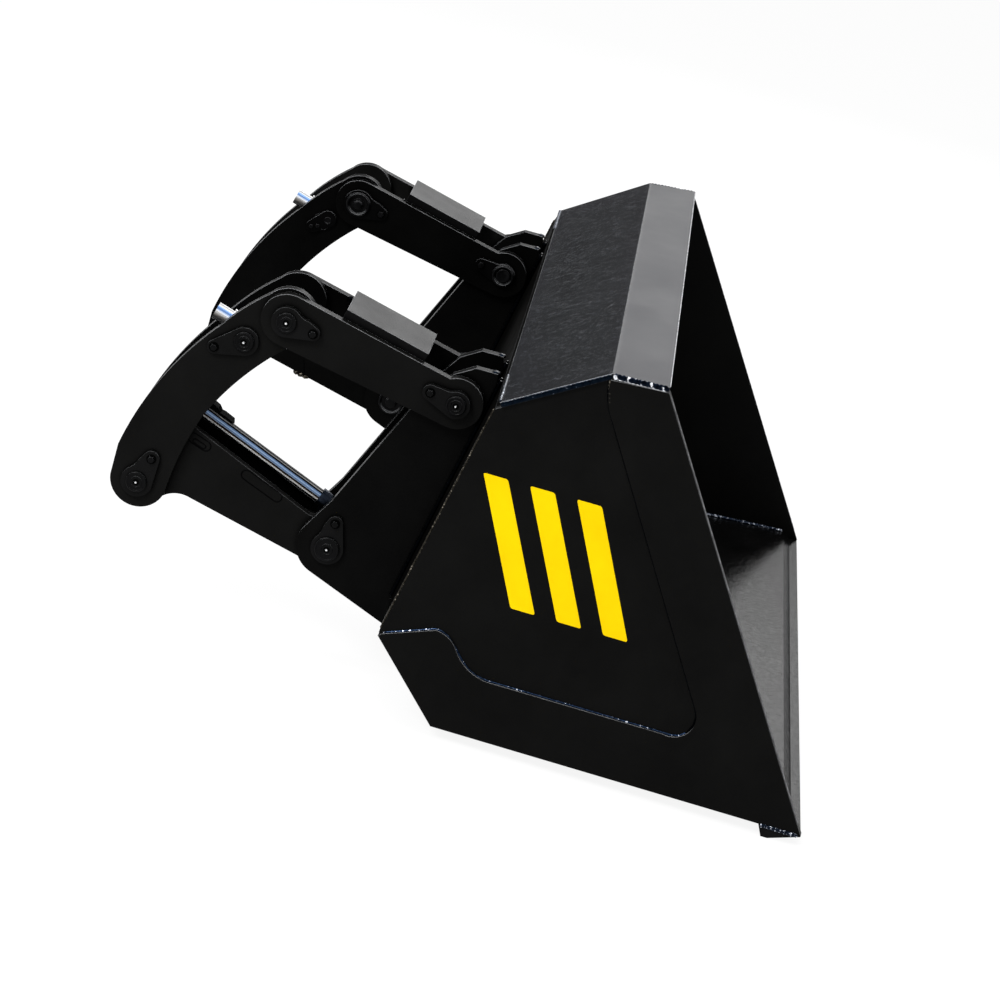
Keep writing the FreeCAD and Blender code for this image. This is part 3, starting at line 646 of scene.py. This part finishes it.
def make_bar_details(side, sign):
    """The bolts and the ring on the bar over the tilt pin's inner end."""
    face, lever = -(INNER_FACE - KEEPER_THICK), side + "_lever"
    for n, spot in enumerate(BAR_BOLTS):
        turned("bar_bolt_%s_%d" % (side, n), sign, face, spot, BAR_BOLT, RING_PAINT, lever, around=6)
    turned("bar_ring_" + side, sign, face, BAR_RING_PLACE, BAR_RING, RING_PAINT, lever)


def make_pin_details():
    for side, sign in SIDES:
        for name, pivot in PIVOTS.items():
            on_link = name in ("high", "tip")
            flag_face = LINK_FACE + LINK_KEEPER_THICK if on_link else OUTER_FACE + KEEPER_THICK
            body = pin_body(side, name)
            label = side + "_" + name
            pin_head(label, sign, flag_face + DISC_THICK, pivot, PIN_RADIUS[name], body)
            keeper_bolt(label, sign, flag_face, KEEPERS[name], body)
        make_inner_ends(side, sign)
        make_bar_details(side, sign)


# Welds and seams

BOTTOM_SEAM = [(1.010, 0.183), (0.897, 0.227), (0.884, 0.226), (0.868, 0.219), (0.855, 0.207),
               (0.841, 0.192), (0.825, 0.173), (0.807, 0.157), (0.785, 0.146), (0.761, 0.142),
               (0.354, 0.142), (0.336, 0.1415), (0.318, 0.145), (0.301, 0.158)]
FRONT_SEAM = [(0.301, 0.158), (0.292, 0.179), (0.291, 0.200), (0.297, 0.217), (0.633, 0.803),
              (0.646, 0.826), (0.655, 0.850), (0.660, 0.872), (0.661, 0.893)]
SEAM_CHIP = [(0.662, 0.895), (0.658, 0.874), (0.652, 0.850), (0.644, 0.830)]
# The top sheet's corners where it lies on the side plates
SHEET_REAR, SHEET_RIDGE, SHEET_FRONT = (0.8765, 0.7725), (0.6575, 0.9040), (0.5350, 0.9088)
# Along each side plate: the points, their depth behind the outer plane, radius, material, ripple, flatness
SIDE_WELDS = {
    "weld_band_bottom": (BOTTOM_SEAM, BAND_THICK, 0.0036, WELD_BLUE, 0.06, 1.0),
    "weld_band_front": (FRONT_SEAM, BAND_THICK, 0.0034, WELD_DARK, 0.06, 1.0),
    "weld_top_slope": ([SHEET_REAR, SHEET_RIDGE], 0.001, 0.0056, WELD_NAVY, 0.05, 0.32),
    "weld_top_brow": ([SHEET_RIDGE, SHEET_FRONT], 0.001, 0.0068, WELD_BROW, 0.14, 0.38),
    # the two edge lines are bare metal and partly a painted highlight of the edges catching light
    "slope_edge": ([(0.8740, 0.7800), (0.6600, 0.9085)], 0.0012, 0.0009, DULL_EDGE_HIGHLIGHT, 0.50, 1.0),
    "brow_edge": ([(0.6440, 0.8989), (0.5400, 0.9025)], -0.0002, 0.0011, BARE_EDGE_HIGHLIGHT, 0.20, 1.0),
    "seam_chip": (SEAM_CHIP, BAND_THICK - 0.0036, 0.0026, SEAM_BROWN, 0.45, 1.0),
    "weld_back": ([(1.018, 0.185), (0.888, 0.755)], 0.021, 0.0034, WELD_BROWN, 0.10, 1.0),
    "weld_heel": ([(0.862, 0.004), (1.015, 0.171)], 0.021, 0.0034, WELD_BROWN, 0.10, 1.0),
    "weld_floor": ([(0.045, 0.0175), (0.845, 0.0175)], INSIDE_DEPTH, 0.0056, WELD_BRIGHT, 0.16, 1.0),
    "weld_edge": ([(0.006, -0.002), (0.094, -0.002)], 0.001, 0.0050, WELD_BRIGHT, 0.14, 1.0)}


def make_side_welds():
    for side, sign in SIDES:
        outward = Vector((sign, 0, 0))
        for name, (points, depth, radius, material, ripple, flat) in SIDE_WELDS.items():
            path = [side_point(sign, y, z, -depth) for y, z in points]
            weld("%s_%s" % (name, side), path, radius, material, ripple=ripple, flat=flat, outward=outward)


# The inner corners of the section, from the floor to the brow, a little inside the sheets
INSIDE = [(0.8485, 0.0175), (1.0010, 0.1812), (0.8665, 0.7695), (0.6555, 0.8965), (0.5400, 0.9010)]


def make_inner_welds():
    """Dark fillets where the shell meets the side plates, and across the bends inside the bucket."""
    for side, sign in SIDES:
        for n, ends in enumerate(zip(INSIDE, INSIDE[1:])):
            path = [side_point(sign, y, z, -INSIDE_DEPTH) for y, z in ends]
            weld("weld_inner_%s_%d" % (side, n), path, 0.0048, WELD_DARK, ripple=0.14, pitch=0.012)
    for n, (y, z) in enumerate(INSIDE[:3]):
        path = [side_point(sign, y, z, -INSIDE_DEPTH) for sign in (-1, 1)]
        weld("weld_across_%d" % n, path, 0.0042, WELD_DARK, ripple=0.10, pitch=0.020)


# The side plates' front edges, from the lip to the brow, and the top sheet's front edge
FRONT_EDGE = ((0.012, 0.0203), (0.530, 0.8966))
BROW_EDGE = (0.5337, 0.9146)


def make_bare_lines():
    """Thin bare lines along the front edges of the side plates and of the top sheet: bare metal, and
    partly a painted highlight of the edges catching light.
    """
    for side, sign in SIDES:
        path = [side_point(sign, y, z, -(BAND_THICK + SIDE_THICK) / 2) for y, z in FRONT_EDGE]
        weld("front_edge_" + side, path, 0.0016, BARE_EDGE_HIGHLIGHT, ripple=0.1, pitch=0.016)
    path = [side_point(sign, *BROW_EDGE, -0.004) for sign in (-1, 1)]
    weld("brow_front_edge", path, 0.0010, BARE_EDGE_HIGHLIGHT, ripple=0.3, pitch=0.016)


# The back plate's foot and head, and the lumps of weld on the brackets' tops
BACK_FOOT, BACK_HEAD = (1.0215, 0.180), (0.893, 0.750)
LUMP_PLACE, LUMP_SIZE = (0.9085, 0.7615), (0.0115, 0.0100, 0.0055)


def make_bracket_welds():
    """Fillets between the brackets and the back plate, with a lump of weld at each top."""
    faces = ((INNER_FACE, "inner_in"), (INNER_FACE + PLATE_THICK, "inner_out"),
             (OUTER_FACE - PLATE_THICK, "outer_in"), (OUTER_FACE, "outer_out"))
    middles = ((INNER_FACE + PLATE_THICK / 2, "inner"), (OUTER_FACE - PLATE_THICK / 2, "outer"))
    for side, sign in SIDES:
        for out, label in faces:
            ends = [place(sign * out, *BACK_FOOT), place(sign * out, *BACK_HEAD)]
            weld("weld_bracket_%s_%s" % (side, label), ends, 0.0062, WELD_DARK, ripple=0.14, pitch=0.012)
        for out, label in middles:
            lump("weld_lump_%s_%s" % (side, label), place(sign * out, *LUMP_PLACE), LUMP_SIZE, WELD_NAVY,
                 "bucket")


# Slots welded shut on the arm's outer plate: their two tips, and half their width
SLOTS = (("pad", (1.557, 0.433), (1.503, 0.413), 0.012),
         ("pad_inner", (1.545, 0.4245), (1.514, 0.413), 0.005),
         ("long", (1.420, 0.378), (1.319, 0.335), 0.012))
# On the arm's inner plate: a seam, and three nubs of weld about its foot
ARM_SEAM = ((1.432, 0.252), (1.444, 0.304))
ARM_NUBS = ((1.457, 0.2635), (1.444, 0.2600), (1.430, 0.2575))
# A nub beside the upper link's box, and a chip in the paint of the lever's outer plate
BOX_NUB = (1.277, 0.797)
PAINT_CHIP = ((1.377, 0.699), (1.380, 0.700))
CHIP_FACE = OUTER_FACE - 0.0006    # sunk, so that the upper link passes clear of it


def slot_outline(x, start, end, half):
    """Points round a slot with two round ends."""
    along = math.atan2(end[1] - start[1], end[0] - start[0])
    points = []
    for centre, first in ((end, -90), (start, 90)):
        for step in range(9):
            turn = along + math.radians(first + step * 22.5)
            back, up = centre[0] + half * math.cos(turn), centre[1] + half * math.sin(turn)
            points.append(place(x, back, up))
    return points + points[:1]


def make_linkage_welds():
    for side, sign in SIDES:
        arm, chain, lever = side + "_arm", side + "_link", side + "_lever"
        outward = Vector((sign, 0, 0))
        for label, start, end, half in SLOTS:
            shrink = half / math.dist(start, end)
            a = tuple(s + (e - s) * shrink for s, e in zip(start, end))
            b = tuple(e + (s - e) * shrink for s, e in zip(start, end))
            weld("slot_weld_%s_%s" % (side, label), slot_outline(sign * ARM_FACE, a, b, half), 0.0014,
                 SEAM_GAP, arm, 0.05, 0.006, 0.8, outward)
        seam = [place(sign * ARM_INNER_FACE, *spot) for spot in ARM_SEAM]
        weld("arm_seam_" + side, seam, 0.0016, SEAM_GAP, arm, 0.08, 0.006, 0.8, outward)
        for n, spot in enumerate(ARM_NUBS):
            lump("arm_nub_%s_%d" % (side, n), place(sign * (ARM_INNER_FACE + 0.006), *spot),
                 (0.009, 0.0105, 0.0070), WELD_BROWN, arm)
        lump("box_nub_" + side, place(sign * (LINK_INNER_FACE + 0.020), *BOX_NUB),
             (0.006, 0.008, 0.010), WELD_DARK, chain)
        chip = [place(sign * CHIP_FACE, *spot) for spot in PAINT_CHIP]
        weld("paint_chip_" + side, chip, 0.0016, NIPPLE, lever, 0.0, 0.003, 0.8, outward)


# The top sheet's rear edge, and where the linkage interrupts its bead
REAR_EDGE = (0.880, 0.7785)
BEAD_END = 0.700


def make_sheet_edge():
    """Beads along the top sheet's rear edge, from each side plate to its linkage, partly a painted
    highlight of that edge catching light.
    """
    for side, sign in SIDES:
        ends = [side_point(sign, *REAR_EDGE, -0.006), place(sign * BEAD_END, *REAR_EDGE)]
        # the right side's bead is the brighter one, as painted highlight
        material = WELD_BRIGHT if sign < 0 else WELD_BLUE
        weld("weld_sheet_corner_" + side, ends, 0.0032, material, ripple=0.25, pitch=0.012)


# Warning bars on the right side plate

BAR_COUNT = 3
BAR_START = 0.480                      # the first bar's foot, from the lip tip
BAR_FOOT, BAR_HEAD = 0.325, 0.612      # heights
BAR_WIDTH, BAR_GAP, BAR_LEAN = 0.056, 0.050, 0.130
BAR_CORNER = 0.006
BAR_THICK, BAR_SUNK = 0.0008, 0.0004


def rounded(corners, radius, steps=4):
    """A closed outline with its corners rounded by quadratic curves."""
    points = []
    count = len(corners)
    for n in range(count):
        here = Vector(corners[n])
        before, after = Vector(corners[n - 1]), Vector(corners[(n + 1) % count])
        start = here + (before - here).normalized() * radius
        end = here + (after - here).normalized() * radius
        for k in range(steps + 1):
            t = k / steps
            points.append(start * (1 - t) ** 2 + here * 2 * t * (1 - t) + end * t ** 2)
    return points


def make_warning_bars():
    """Plain slanted bars, painted on the right side plate alone."""
    sign = -1
    for n in range(BAR_COUNT):
        start = BAR_START + n * (BAR_WIDTH + BAR_GAP)
        corners = [(start, BAR_FOOT), (start + BAR_WIDTH, BAR_FOOT),
                   (start + BAR_WIDTH + BAR_LEAN, BAR_HEAD), (start + BAR_LEAN, BAR_HEAD)]
        outline = rounded(corners, BAR_CORNER)
        verts = [side_point(sign, p.x, p.y, -BAND_THICK - BAR_SUNK) for p in outline]
        verts += [side_point(sign, p.x, p.y, -BAND_THICK + BAR_THICK) for p in outline]
        new_piece("warning_bar_%d" % n, verts, bridge(2, len(outline)), YELLOW, "bucket")


make_studio()
dress_nodes()
make_pin_details()
make_side_welds()
make_bracket_welds()
make_linkage_welds()
make_sheet_edge()
make_inner_welds()
make_bare_lines()
make_warning_bars()
